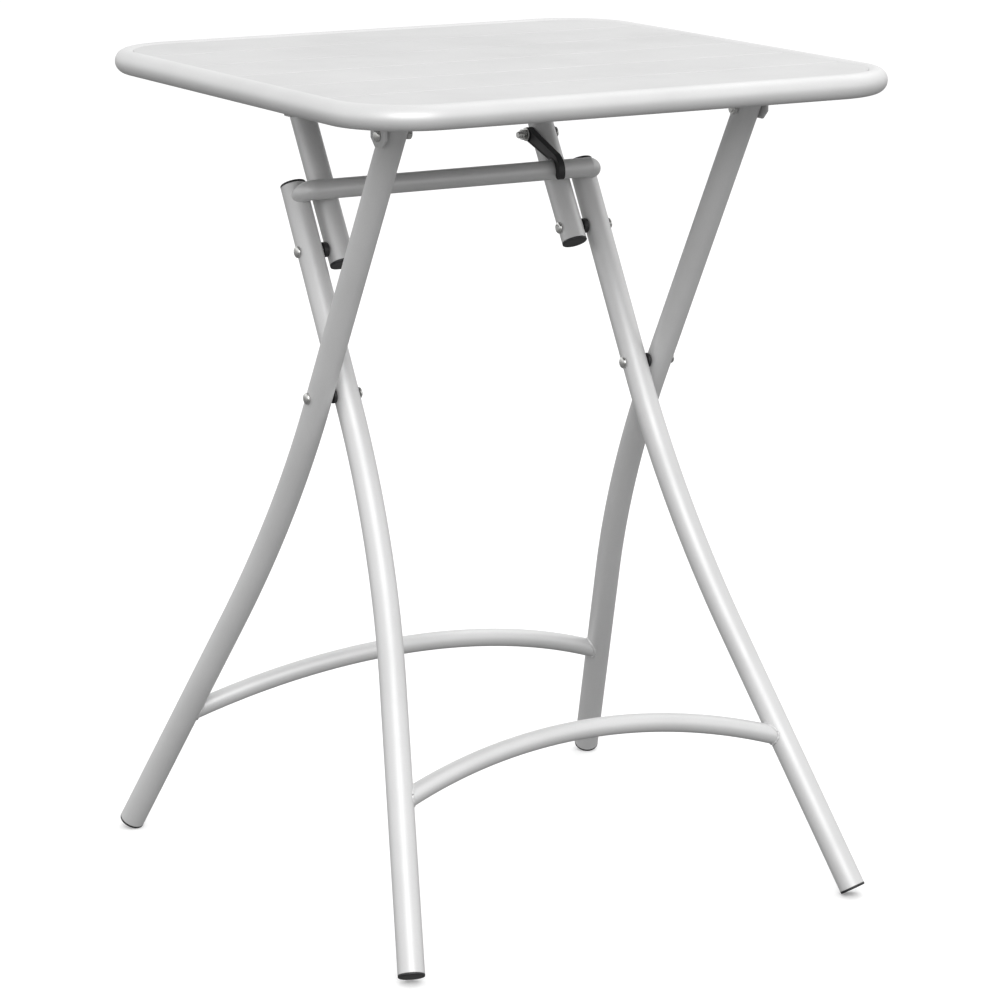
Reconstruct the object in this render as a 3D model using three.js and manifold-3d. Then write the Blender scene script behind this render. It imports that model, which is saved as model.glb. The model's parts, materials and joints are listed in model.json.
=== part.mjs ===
// Folding picnic table: a square steel top on two crossing tube frames.
//
// Millimetres, +Z up, +Y to the rear, origin on the ground under the middle of the top.
//
// The rear frame hangs from the front of the top and its feet stand at the back. The front
// frame is pinned to it where the legs cross, and its upper ends are pinned to two short
// link tubes that hang from the rear of the top. A hook on the right link tube holds the
// front frame's crossbar against the links, which locks the table open.
// Each frame lies in one leaning plane, so it is drawn flat, in a group turned to that lean.

import * as THREE from 'three';
import { mergeVertices } from 'three/addons/utils/BufferGeometryUtils.js';
import Module from 'manifold-3d';

const wasm = await Module();
wasm.setup();

// ---- driving dimensions -------------------------------------------------------------------

const TOP_WIDTH = 510;
const TOP_HEIGHT = 700;
const RIM_RADIUS = 10;
const RIM_CORNER_RADIUS = 62;
const RIM_WALL = 1.2;
const DRAIN_HOLE_RADIUS = 2;

const PANEL_DROP = 1.4;
const PANEL_THICKNESS = 1.2;
const SLAT_COUNT = 6;
const GROOVE_DEPTH = 1.2;
const GROOVE_WIDTH = 4;

const BRACE_WIDTH = 30;
const BRACE_THICKNESS = 2.5;

const LEG_RADIUS = 11;
const LEG_WALL = 1.2;
const BAR_RADIUS = 8;
const BAR_WALL = 1;
const CROSSBAR_RADIUS = 8.5;

const CROSSING_HEIGHT = 428;
const REAR_HINGE_HEIGHT = 650;
const FRONT_HINGE_HEIGHT = 662;
const LINK_PIN_HEIGHT = 539.3;
const HOOK_PIN_HEIGHT = 616;

const REAR_FRAME_LEAN = THREE.MathUtils.degToRad(29.3);
const FRONT_FRAME_LEAN = THREE.MathUtils.degToRad(29.7);
const LINK_LEAN = THREE.MathUtils.degToRad(31.2);

const REAR_LEG_X = 166.3;
const FRONT_LEG_X = 141.1;
const LINK_X = 113.9;

const SPLAY = THREE.MathUtils.degToRad(11.5);
const SPLAY_BEND_RADIUS = 1200;
const SPLAY_START = -9;

const FRONT_ARCH_AT = -347;
const FRONT_ARCH_RISE = 35;
const REAR_ARCH_AT = -357;
const REAR_ARCH_RISE = 46;

const REAR_FRAME_OVER_HINGE = 13;
const FRONT_FRAME_OVER_LINK_PIN = 61;
const LINK_OVER_HINGE = 13;
const LINK_BELOW_PIN = 15;

const CROSSBAR_OVER_LINK_PIN = 46.5;
const CROSSBAR_HALF_LENGTH = 141;
const CROSSBAR_END_LIP = 6;
const CROSSBAR_END_EDGE = 4.8;

const GAP = 0.3;
const CAP_LIP = 1.6;
const CAP_EDGE = 0.5;
const CAP_PLUG_LENGTH = 10;

const BRACKET_WALL = 2;
const BRACKET_SIDE_CLEARANCE = 0.5;
const FRONT_BRACKET = { width: 25, belowPin: 9.5, chamfer: 7 };
const REAR_BRACKET = { width: 20, belowPin: 6, chamfer: 4 };

const PIN_RADIUS = 3;
const HEAD_RADIUS = 5;
const HEAD_HEIGHT = 2.6;
const HEAD_PROFILE = [[0, 0], [1, 0], [1, 0.4], [0.82, 0.8], [0.45, 1], [0, 1]];
const NUT_HEIGHT = 4;
const SHANK_ROOT = 0.5;
const HINGE_PIN_STICKOUT = 1;
const DOMED_NUT_FILL = 0.8;
const WASHER_RADIUS = 6;
const WASHER_THICKNESS = 1;
const CROSSING_SPACER_RADIUS = 6.5;

const HOOK_THICKNESS = 6;
const HOOK_BOSS_RADIUS = 6.2;
const HOOK_NOSE_WIDTH = 7;
const HOOK_CLEARANCE = 0.8;
const HOOK_PIN_STICKOUT = 3.5;
const HOOK_BOSS_FRONT = THREE.MathUtils.degToRad(20);
const HOOK_BOSS_BACK = THREE.MathUtils.degToRad(200);
const HOOK_SHOULDER = THREE.MathUtils.degToRad(45);
const HOOK_NOSE_TOP = THREE.MathUtils.degToRad(80);
const HOOK_NOSE_END = THREE.MathUtils.degToRad(-46);

const SIDES = [['left', -1], ['right', 1]];

const ROUND = 20;
const ROUND_INNER = 12;
const ROUND_SMALL = 12;
const BEND_STEPS = 5;
const ARCH_STEPS = 10;
const CORNER_STEPS = 6;
const CUT_OVER = 1;

// ---- materials ----------------------------------------------------------------------------

const PAINT = { color: 0xdcdcdb, roughness: 0.4, metalness: 0.25 };
const PLASTIC = { color: 0x161616, roughness: 0.55, metalness: 0 };
const ZINC = { color: 0xc9cacb, roughness: 0.3, metalness: 0.9 };

// ---- building helpers ---------------------------------------------------------------------

function toSolid(geometry) {
  const bare = geometry.clone();
  bare.deleteAttribute('normal');
  bare.deleteAttribute('uv');
  const merged = mergeVertices(bare, 1e-4);
  return new wasm.Manifold(new wasm.Mesh({
    numProp: 3,
    vertProperties: new Float32Array(merged.attributes.position.array),
    triVerts: new Uint32Array(merged.index.array),
  }));
}

function toGeometry(solid) {
  const mesh = solid.getMesh();
  const geometry = new THREE.BufferGeometry();
  geometry.setAttribute('position', new THREE.BufferAttribute(mesh.vertProperties, 3));
  geometry.setIndex(new THREE.BufferAttribute(mesh.triVerts, 1));
  return geometry;
}

function cut(geometry, ...tools) {
  let solid = toSolid(geometry);
  for (const tool of tools) {
    solid = solid.subtract(toSolid(tool));
  }
  return toGeometry(solid);
}

function join(...geometries) {
  let solid = toSolid(geometries[0]);
  for (const other of geometries.slice(1)) {
    solid = solid.add(toSolid(other));
  }
  return toGeometry(solid);
}

function piece(group, name, geometry, look) {
  const mesh = new THREE.Mesh(geometry, new THREE.MeshStandardMaterial(look));
  mesh.name = name;
  group.add(mesh);
  return mesh;
}

function circlePoints(radius, segments, clockwise = false) {
  const points = [];
  for (let i = 0; i < segments; i += 1) {
    const turn = (clockwise ? -1 : 1) * (i / segments) * 2 * Math.PI;
    points.push(new THREE.Vector2(radius * Math.cos(turn), radius * Math.sin(turn)));
  }
  return points;
}

// A centre line given as places with their directions: a tube that follows it gets a section
// at each of them and nowhere else, so bends stay round and straights cost nothing.
class StationPath extends THREE.Curve {
  constructor(stations) {
    super();
    this.stations = stations;
    this.steps = stations.length - 1;
  }

  getPointAt(u, target = new THREE.Vector3()) {
    return target.copy(this.stations[Math.round(u * this.steps)].at);
  }

  getTangentAt(u, target = new THREE.Vector3()) {
    return target.copy(this.stations[Math.round(u * this.steps)].along);
  }
}

function straightPath(from, to) {
  const along = to.clone().sub(from).normalize();
  return new StationPath([{ at: from, along }, { at: to, along }]);
}

// A round bar along a path, or a tube with open ends when it has a wall.
function sweep(path, radius, wall = 0, segments = ROUND) {
  const shape = new THREE.Shape(circlePoints(radius, segments));
  if (wall > 0) {
    shape.holes.push(new THREE.Path(circlePoints(radius - wall, ROUND_INNER, true)));
  }
  const options = { steps: path.steps, extrudePath: path, bevelEnabled: false };
  return new THREE.ExtrudeGeometry(shape, options);
}

// A cylinder along X from one x to another, at a height and depth.
function crossCylinder(radius, fromX, toX, y, z, segments = ROUND_SMALL) {
  const geometry = new THREE.CylinderGeometry(radius, radius, Math.abs(toX - fromX), segments);
  geometry.rotateZ(Math.PI / 2);
  geometry.translate((fromX + toX) / 2, y, z);
  return geometry;
}

// A washer or spacer along X.
function crossRing(radius, holeRadius, fromX, toX, y, z) {
  const low = Math.min(fromX, toX) - CUT_OVER;
  const high = Math.max(fromX, toX) + CUT_OVER;
  const body = crossCylinder(radius, fromX, toX, y, z, ROUND);
  return cut(body, crossCylinder(holeRadius, low, high, y, z));
}

// A low domed bolt head whose flat side faces along +X times direction.
function domedHead(faceX, direction, y, z) {
  const profile = HEAD_PROFILE.map(([across, along]) => (
    new THREE.Vector2(HEAD_RADIUS * across, HEAD_HEIGHT * along)
  ));
  const head = new THREE.LatheGeometry(profile, ROUND_SMALL);
  head.rotateZ(direction > 0 ? -Math.PI / 2 : Math.PI / 2);
  head.translate(faceX, y, z);
  return head;
}

// A hexagon nut on a pin along X; its hole clears the pin.
function hexNut(fromX, toX, y, z) {
  const low = Math.min(fromX, toX);
  const high = Math.max(fromX, toX);
  const body = new THREE.CylinderGeometry(HEAD_RADIUS, HEAD_RADIUS, high - low, 6);
  body.rotateZ(Math.PI / 2);
  body.translate((low + high) / 2, y, z);
  return cut(body, crossCylinder(PIN_RADIUS + GAP, low - CUT_OVER, high + CUT_OVER, y, z));
}

// A pin with a domed head: the head sits at headX and the shank runs to endX.
function headedPin(headX, endX, y, z) {
  const away = headX > endX ? 1 : -1;
  const shank = crossCylinder(PIN_RADIUS, headX + away * SHANK_ROOT, endX, y, z);
  return join(domedHead(headX, away, y, z), shank);
}

// ---- tube frames --------------------------------------------------------------------------

// A leg's centre line in its frame's plane: x is to the side and z runs up the frame, with
// zero at the crossing. It is straight at the top, bends outwards once, and ends at footZ.
function legPath(x, topZ, footZ) {
  const side = Math.sign(x);
  const top = { at: new THREE.Vector3(x, 0, topZ), along: new THREE.Vector3(0, 0, -1) };
  const stations = [top];
  for (let i = 0; i <= BEND_STEPS; i += 1) {
    const turn = (i / BEND_STEPS) * SPLAY;
    const out = SPLAY_BEND_RADIUS * (1 - Math.cos(turn));
    const down = SPLAY_BEND_RADIUS * Math.sin(turn);
    const at = new THREE.Vector3(x + side * out, 0, SPLAY_START - down);
    const along = new THREE.Vector3(side * Math.sin(turn), 0, -Math.cos(turn));
    stations.push({ at, along });
  }
  const foot = new THREE.Vector3(side * outwardAt(Math.abs(x), footZ), 0, footZ);
  stations.push({ at: foot, along: stations.at(-1).along });
  return new StationPath(stations);
}

// Height of the foot's end face above the ground when the lowest edge of it just touches.
function footFaceHeight(lean) {
  const steep = Math.cos(SPLAY) * Math.cos(lean);
  return LEG_RADIUS * Math.sqrt(1 - steep * steep);
}

function footStation(lean) {
  return (footFaceHeight(lean) - CROSSING_HEIGHT) / Math.cos(lean);
}

function outwardAt(legX, station) {
  const bendEndZ = SPLAY_START - SPLAY_BEND_RADIUS * Math.sin(SPLAY);
  const bendOut = SPLAY_BEND_RADIUS * (1 - Math.cos(SPLAY));
  return legX + bendOut + (bendEndZ - station) * Math.tan(SPLAY);
}

// The foot end of a leg is cut short by the cap's lip.
function legFootZ(lean) {
  return footStation(lean) + (CAP_LIP + GAP) * Math.cos(SPLAY);
}

// A push-in end cap: a lip as wide as the tube, with a rounded edge, and a plug inside it. It
// is turned about its own axis, with the plug up and the lip's outer face at zero.
function capGeometry(radius, wall, lip, edge) {
  const plugRadius = radius - wall - 2 * GAP;
  const profile = [
    new THREE.Vector2(0, 0),
    new THREE.Vector2(radius - edge, 0),
    new THREE.Vector2(radius, edge),
    new THREE.Vector2(radius, lip),
    new THREE.Vector2(plugRadius, lip),
    new THREE.Vector2(plugRadius, lip + CAP_PLUG_LENGTH),
    new THREE.Vector2(0, lip + CAP_PLUG_LENGTH),
  ];
  const cap = new THREE.LatheGeometry(profile, ROUND);
  cap.rotateX(Math.PI / 2);
  return cap;
}

function tubeCap() {
  return capGeometry(LEG_RADIUS, LEG_WALL, CAP_LIP, CAP_EDGE);
}

function pinHole(x, z, radius = PIN_RADIUS + GAP) {
  const reach = 2 * LEG_RADIUS;
  return crossCylinder(radius, x - reach, x + reach, 0, z);
}

function addLeg(group, name, x, topZ, lean, holes) {
  const tube = sweep(legPath(x, topZ, legFootZ(lean)), LEG_RADIUS, LEG_WALL);
  piece(group, name, cut(tube, ...holes.map((z) => pinHole(x, z))), PAINT);
}

function addFootCap(group, name, x, lean) {
  const station = footStation(lean);
  const cap = piece(group, name, tubeCap(), PLASTIC);
  cap.position.set(Math.sign(x) * outwardAt(Math.abs(x), station), 0, station);
  cap.rotation.y = -Math.sign(x) * SPLAY;
}

// The arched bar between the two legs of a frame, cut to fit against both of them.
function archGeometry(legX, at, rise, lean) {
  const half = outwardAt(legX, at);
  const radius = (half * half + rise * rise) / (2 * rise);
  const spread = Math.asin(half / radius);
  const centre = at + rise - radius;
  const stations = [];
  for (let i = 0; i <= ARCH_STEPS; i += 1) {
    const turn = spread * ((2 * i) / ARCH_STEPS - 1);
    const across = radius * Math.sin(turn);
    const up = centre + radius * Math.cos(turn);
    const along = new THREE.Vector3(Math.cos(turn), 0, -Math.sin(turn));
    stations.push({ at: new THREE.Vector3(across, 0, up), along });
  }
  const bar = sweep(new StationPath(stations), BAR_RADIUS, BAR_WALL);
  const legs = SIDES.map(([, side]) => (
    sweep(legPath(side * legX, 0, legFootZ(lean)), LEG_RADIUS + GAP)
  ));
  return cut(bar, ...legs);
}

function frameGroup(lean) {
  const group = new THREE.Group();
  group.position.set(0, 0, CROSSING_HEIGHT);
  group.rotation.x = lean;
  return group;
}

// ---- the top ------------------------------------------------------------------------------

const RIM_Z = TOP_HEIGHT - RIM_RADIUS;
const RIM_HALF = TOP_WIDTH / 2 - RIM_RADIUS;

// Half of the rim's centre line, from the middle of one side round two corners to the middle
// of the opposite side, with a little overlap so that the two halves join.
function halfRimPath(side) {
  const flat = RIM_HALF - RIM_CORNER_RADIUS;
  const overlap = 1;
  const station = (x, y, turn) => ({
    at: new THREE.Vector3(x, side * y, RIM_Z),
    along: new THREE.Vector3(-Math.sin(turn), side * Math.cos(turn), 0),
  });
  const stations = [station(RIM_HALF, -overlap, 0)];
  for (const [cx, from] of [[flat, 0], [-flat, Math.PI / 2]]) {
    for (let i = 0; i <= CORNER_STEPS; i += 1) {
      const turn = from + (i / CORNER_STEPS) * (Math.PI / 2);
      const x = cx + RIM_CORNER_RADIUS * Math.cos(turn);
      const y = flat + RIM_CORNER_RADIUS * Math.sin(turn);
      stations.push(station(x, y, turn));
    }
  }
  stations.push(station(-RIM_HALF, -overlap, Math.PI));
  return new StationPath(stations);
}

function ringAlongRim(radius, segments) {
  return join(...[1, -1].map((side) => sweep(halfRimPath(side), radius, 0, segments)));
}

function rimGeometry() {
  const drains = [-1, 1].map((side) => {
    const drain = new THREE.CylinderGeometry(
      DRAIN_HOLE_RADIUS, DRAIN_HOLE_RADIUS, RIM_RADIUS, ROUND_SMALL,
    );
    drain.rotateX(Math.PI / 2);
    drain.translate(side * RIM_HALF / 2, RIM_HALF, RIM_Z - RIM_RADIUS);
    return drain;
  });
  const outer = ringAlongRim(RIM_RADIUS, ROUND);
  return cut(outer, ringAlongRim(RIM_RADIUS - RIM_WALL, ROUND_INNER), ...drains);
}

function roundedSquare(half, cornerRadius) {
  const flat = half - cornerRadius;
  const shape = new THREE.Shape();
  shape.absarc(flat, flat, cornerRadius, 0, Math.PI / 2);
  shape.absarc(-flat, flat, cornerRadius, Math.PI / 2, Math.PI);
  shape.absarc(-flat, -flat, cornerRadius, Math.PI, 1.5 * Math.PI);
  shape.absarc(flat, -flat, cornerRadius, 1.5 * Math.PI, 2 * Math.PI);
  return shape;
}

const PANEL_TOP = TOP_HEIGHT - PANEL_DROP;

// Distance from the rim's centre line to the panel's edge, at the panel's upper face.
function panelInset() {
  const rise = PANEL_TOP - PANEL_THICKNESS - RIM_Z;
  return Math.sqrt(RIM_RADIUS * RIM_RADIUS - rise * rise) + GAP;
}

// The sheet's section across its slats: flat slats with a shallow V groove between each two.
function panelSection(half) {
  const pitch = (2 * half) / SLAT_COUNT;
  const upper = [[-half, 0]];
  for (let i = 1; i < SLAT_COUNT; i += 1) {
    const y = -half + i * pitch;
    upper.push([y - GROOVE_WIDTH / 2, 0], [y, -GROOVE_DEPTH], [y + GROOVE_WIDTH / 2, 0]);
  }
  upper.push([half, 0]);
  const lower = upper.map(([y, z]) => [y, z - PANEL_THICKNESS]).reverse();
  return new THREE.Shape([...upper, ...lower].map(([y, z]) => new THREE.Vector2(y, z)));
}

function panelGeometry() {
  const half = RIM_HALF - panelInset();
  const over = 2;
  const section = panelSection(half);
  const options = { depth: 2 * (half + over), bevelEnabled: false };
  const sheet = new THREE.ExtrudeGeometry(section, options);
  sheet.translate(0, 0, -half - over);
  sheet.rotateY(Math.PI / 2);
  sheet.rotateX(Math.PI / 2);
  sheet.translate(0, 0, PANEL_TOP);
  const deep = 20;
  const outline = new THREE.ExtrudeGeometry(
    roundedSquare(half, RIM_CORNER_RADIUS - panelInset()),
    { depth: deep, bevelEnabled: false, curveSegments: CORNER_STEPS / 2 },
  );
  outline.translate(0, 0, PANEL_TOP - deep / 2);
  const trimmed = toSolid(sheet).intersect(toSolid(outline));
  return cut(toGeometry(trimmed), ringAlongRim(RIM_RADIUS + GAP, ROUND));
}

const BRACE_TOP = PANEL_TOP - PANEL_THICKNESS - GROOVE_DEPTH - GAP;
const BRACE_BOTTOM = BRACE_TOP - BRACE_THICKNESS;

// A flat bar across the underside, cut to fit inside the rim.
function braceGeometry(y) {
  const drop = (BRACE_TOP + BRACE_BOTTOM) / 2 - RIM_Z;
  const reach = RIM_HALF - Math.sqrt(RIM_RADIUS * RIM_RADIUS - drop * drop) - 2 * GAP;
  const bar = new THREE.BoxGeometry(2 * reach, BRACE_WIDTH, BRACE_THICKNESS);
  bar.translate(0, y, (BRACE_TOP + BRACE_BOTTOM) / 2);
  return bar;
}

// An angle bracket: a flange under the top and one chamfered cheek on a tube's outer side.
function bracketGeometry(x, y, pinZ, size) {
  const inner = LEG_RADIUS + BRACKET_SIDE_CLEARANCE;
  const outer = inner + BRACKET_WALL;
  const top = BRACE_BOTTOM - GAP;
  const bottom = pinZ - size.belowPin;
  const half = size.width / 2;
  const cheek = new THREE.Shape([
    new THREE.Vector2(-half, top),
    new THREE.Vector2(-half, bottom + size.chamfer),
    new THREE.Vector2(-half + size.chamfer, bottom),
    new THREE.Vector2(half - size.chamfer, bottom),
    new THREE.Vector2(half, bottom + size.chamfer),
    new THREE.Vector2(half, top),
  ]);
  const block = new THREE.ExtrudeGeometry(cheek, { depth: 2 * outer, bevelEnabled: false });
  block.translate(0, 0, -outer);
  block.rotateY(Math.PI / 2);
  block.rotateX(Math.PI / 2);
  block.translate(x, y, 0);
  const slotHeight = top - bottom;
  const slotWidth = 4 * inner;
  const slot = new THREE.BoxGeometry(slotWidth, 2 * size.width, slotHeight);
  const slotX = x - Math.sign(x) * (slotWidth / 2 - inner);
  slot.translate(slotX, y, top - BRACKET_WALL - slotHeight / 2);
  const hole = crossCylinder(PIN_RADIUS + GAP, x - 2 * outer, x + 2 * outer, y, pinZ);
  return cut(block, slot, hole);
}

const BRACKET_FACE = LEG_RADIUS + BRACKET_SIDE_CLEARANCE + BRACKET_WALL + GAP;

// A front hinge under the top: an angle bracket on the rear leg's outer side, and the pin and
// nut that carry the rear frame.
function addFrontHinge(group, word, side) {
  const y = FRONT_HINGE_Y;
  const z = FRONT_HINGE_HEIGHT;
  const nutX = side * (REAR_LEG_X - LEG_RADIUS - GAP);
  const endX = nutX - side * (NUT_HEIGHT + HINGE_PIN_STICKOUT);
  const bracket = bracketGeometry(side * REAR_LEG_X, y, z, FRONT_BRACKET);
  const pin = headedPin(side * (REAR_LEG_X + BRACKET_FACE), endX, y, z);
  piece(group, `front_hinge_bracket_${word}`, bracket, PAINT);
  piece(group, `front_hinge_pin_${word}`, pin, ZINC);
  piece(group, `front_hinge_nut_${word}`, hexNut(nutX, nutX - side * NUT_HEIGHT, y, z), ZINC);
}

// A rear hinge under the top: an angle bracket on the link tube's outer side, and a rivet
// that ends inside the tube's inner wall so that the hook can swing past it.
function addRearHinge(group, word, side) {
  const y = REAR_HINGE_Y;
  const z = REAR_HINGE_HEIGHT;
  const endX = side * (LINK_X - LEG_RADIUS + GAP);
  const bracket = bracketGeometry(side * LINK_X, y, z, REAR_BRACKET);
  const rivet = headedPin(side * (LINK_X + BRACKET_FACE), endX, y, z);
  piece(group, `rear_hinge_bracket_${word}`, bracket, PAINT);
  piece(group, `rear_hinge_rivet_${word}`, rivet, ZINC);
}

const FRONT_HINGE_Y = -(FRONT_HINGE_HEIGHT - CROSSING_HEIGHT) * Math.tan(REAR_FRAME_LEAN);
const LINK_PIN_Y = (LINK_PIN_HEIGHT - CROSSING_HEIGHT) * Math.tan(FRONT_FRAME_LEAN);
const REAR_HINGE_Y = LINK_PIN_Y + (REAR_HINGE_HEIGHT - LINK_PIN_HEIGHT) * Math.tan(LINK_LEAN);

function buildTop() {
  const top = new THREE.Group();
  piece(top, 'rim_tube', rimGeometry(), PAINT);
  piece(top, 'slatted_top_panel', panelGeometry(), PAINT);
  piece(top, 'front_brace_bar', braceGeometry(FRONT_HINGE_Y), PAINT);
  piece(top, 'rear_brace_bar', braceGeometry(REAR_HINGE_Y), PAINT);
  for (const [word, side] of SIDES) {
    addFrontHinge(top, word, side);
    addRearHinge(top, word, side);
  }
  return top;
}

// ---- the rear frame -----------------------------------------------------------------------

const REAR_HINGE_STATION = (FRONT_HINGE_HEIGHT - CROSSING_HEIGHT) / Math.cos(REAR_FRAME_LEAN);

// The crossing pin is fixed in the rear leg. It runs through the spacer and stops short of
// the front leg, whose own nut closes the joint on its inner side.
function addCrossing(group, word, side) {
  const outerFace = side * (REAR_LEG_X + LEG_RADIUS + GAP);
  const innerFace = side * (REAR_LEG_X - LEG_RADIUS - GAP);
  const frontLegFace = side * (FRONT_LEG_X + LEG_RADIUS + GAP);
  const pin = headedPin(outerFace, frontLegFace, 0, 0);
  const spacer = crossRing(CROSSING_SPACER_RADIUS, PIN_RADIUS + GAP, innerFace, frontLegFace, 0, 0);
  piece(group, `crossing_pin_${word}`, pin, ZINC);
  piece(group, `crossing_spacer_${word}`, spacer, PLASTIC);
}

function buildRearFrame() {
  const frame = frameGroup(REAR_FRAME_LEAN);
  const topZ = REAR_HINGE_STATION + REAR_FRAME_OVER_HINGE;
  for (const [word, side] of SIDES) {
    const x = side * REAR_LEG_X;
    addLeg(frame, `rear_leg_${word}`, x, topZ, REAR_FRAME_LEAN, [0, REAR_HINGE_STATION]);
    addFootCap(frame, `rear_foot_cap_${word}`, x, REAR_FRAME_LEAN);
    addCrossing(frame, word, side);
  }
  const arch = archGeometry(REAR_LEG_X, REAR_ARCH_AT, REAR_ARCH_RISE, REAR_FRAME_LEAN);
  piece(frame, 'rear_arched_bar', arch, PAINT);
  return frame;
}

// ---- the front frame ----------------------------------------------------------------------

const LINK_PIN_STATION = (LINK_PIN_HEIGHT - CROSSING_HEIGHT) / Math.cos(FRONT_FRAME_LEAN);

function crossbarOffset() {
  return LEG_RADIUS + CROSSBAR_RADIUS + GAP;
}

function addCrossbar(frame) {
  const z = LINK_PIN_STATION + CROSSBAR_OVER_LINK_PIN;
  const y = -crossbarOffset();
  const tubeEnd = CROSSBAR_HALF_LENGTH - CROSSBAR_END_LIP - GAP;
  const ends = [-tubeEnd, tubeEnd].map((x) => new THREE.Vector3(x, y, z));
  const tube = sweep(straightPath(...ends), CROSSBAR_RADIUS, BAR_WALL);
  piece(frame, 'locking_crossbar', tube, PAINT);
  for (const [word, side] of SIDES) {
    const plug = capGeometry(CROSSBAR_RADIUS, BAR_WALL, CROSSBAR_END_LIP, CROSSBAR_END_EDGE);
    plug.rotateY(-side * Math.PI / 2);
    plug.translate(side * CROSSBAR_HALF_LENGTH, y, z);
    piece(frame, `crossbar_end_plug_${word}`, plug, PAINT);
  }
}

function buildFrontFrame() {
  const frame = frameGroup(-FRONT_FRAME_LEAN);
  const topZ = LINK_PIN_STATION + FRONT_FRAME_OVER_LINK_PIN;
  for (const [word, side] of SIDES) {
    const x = side * FRONT_LEG_X;
    const tubeTop = topZ - CAP_LIP - GAP;
    addLeg(frame, `front_leg_${word}`, x, tubeTop, FRONT_FRAME_LEAN, [LINK_PIN_STATION]);
    addFootCap(frame, `front_foot_cap_${word}`, x, FRONT_FRAME_LEAN);
    const topCap = piece(frame, `front_leg_top_cap_${word}`, tubeCap(), PLASTIC);
    topCap.position.set(x, 0, topZ);
    topCap.rotation.x = Math.PI;
    const nutX = side * (FRONT_LEG_X - LEG_RADIUS - GAP);
    const nut = domedHead(nutX, -side, 0, 0);
    piece(frame, `crossing_nut_${word}`, nut, ZINC);
  }
  addCrossbar(frame);
  const arch = archGeometry(FRONT_LEG_X, FRONT_ARCH_AT, FRONT_ARCH_RISE, FRONT_FRAME_LEAN);
  piece(frame, 'front_arched_bar', arch, PAINT);
  return frame;
}

// ---- the link tubes and the hook ----------------------------------------------------------

const LINK_LENGTH = (REAR_HINGE_HEIGHT - LINK_PIN_HEIGHT) / Math.cos(LINK_LEAN);
const HOOK_STATION = (HOOK_PIN_HEIGHT - LINK_PIN_HEIGHT) / Math.cos(LINK_LEAN);

function addLinkTube(links, word, side) {
  const x = side * LINK_X;
  const low = -LINK_BELOW_PIN + CAP_LIP + GAP;
  const path = straightPath(
    new THREE.Vector3(x, 0, LINK_LENGTH + LINK_OVER_HINGE),
    new THREE.Vector3(x, 0, low),
  );
  const stations = side > 0 ? [0, LINK_LENGTH, HOOK_STATION] : [0, LINK_LENGTH];
  const tube = sweep(path, LEG_RADIUS, LEG_WALL);
  piece(links, `link_tube_${word}`, cut(tube, ...stations.map((z) => pinHole(x, z))), PAINT);
  const cap = piece(links, `link_end_cap_${word}`, tubeCap(), PLASTIC);
  cap.position.set(x, 0, -LINK_BELOW_PIN);
}

// The pin that joins a link tube to the front leg beside it, with its spacer and nut.
function addLinkPin(links, word, side) {
  const legOuter = side * (FRONT_LEG_X + LEG_RADIUS + GAP);
  const legInner = side * (FRONT_LEG_X - LEG_RADIUS - GAP);
  const tubeOuter = side * (LINK_X + LEG_RADIUS + GAP);
  const tubeInner = side * (LINK_X - LEG_RADIUS - GAP);
  const pin = headedPin(legOuter, tubeInner - side * HEAD_HEIGHT * DOMED_NUT_FILL, 0, 0);
  const spacer = crossRing(CROSSING_SPACER_RADIUS, PIN_RADIUS + GAP, tubeOuter, legInner, 0, 0);
  const nut = cut(
    domedHead(tubeInner, -side, 0, 0),
    crossCylinder(PIN_RADIUS + GAP, tubeOuter, tubeInner - side * 2 * HEAD_HEIGHT, 0, 0),
  );
  piece(links, `link_pin_${word}`, pin, ZINC);
  piece(links, `link_spacer_${word}`, spacer, PLASTIC);
  piece(links, `link_nut_${word}`, nut, ZINC);
}

// The crossbar's centre seen from the hook's pin, in the link tube's own plane.
function crossbarFromHook() {
  const turn = FRONT_FRAME_LEAN - LINK_LEAN;
  const up = CROSSBAR_OVER_LINK_PIN;
  const forward = crossbarOffset();
  return {
    forward: forward * Math.cos(turn) - up * Math.sin(turn),
    up: up * Math.cos(turn) + forward * Math.sin(turn) - HOOK_STATION,
  };
}

// The hook's outline: a round boss on the pin, an arm that leans forwards over the crossbar,
// and a nose that follows the crossbar round its front and ends just below it. The outline
// is a thick stroke round that centre line. x is forwards and y is up the link tube.
function hookShape() {
  const bar = crossbarFromHook();
  const inner = CROSSBAR_RADIUS + HOOK_CLEARANCE;
  const outer = inner + HOOK_NOSE_WIDTH;
  const on = (radius, turn) => new THREE.Vector2(
    bar.forward + radius * Math.cos(turn),
    bar.up + radius * Math.sin(turn),
  );
  const shape = new THREE.Shape();
  shape.absarc(0, 0, HOOK_BOSS_RADIUS, HOOK_BOSS_FRONT, HOOK_BOSS_BACK, false);
  const noseStart = on(inner, HOOK_NOSE_TOP);
  shape.lineTo(noseStart.x, noseStart.y);
  shape.absarc(bar.forward, bar.up, inner, HOOK_NOSE_TOP, HOOK_NOSE_END, true);
  const tip = on((inner + outer) / 2, HOOK_NOSE_END);
  const tipStart = HOOK_NOSE_END + Math.PI;
  shape.absarc(tip.x, tip.y, HOOK_NOSE_WIDTH / 2, tipStart, tipStart + Math.PI, false);
  shape.absarc(bar.forward, bar.up, outer, HOOK_NOSE_END, HOOK_SHOULDER, false);
  shape.closePath();
  return shape;
}

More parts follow.
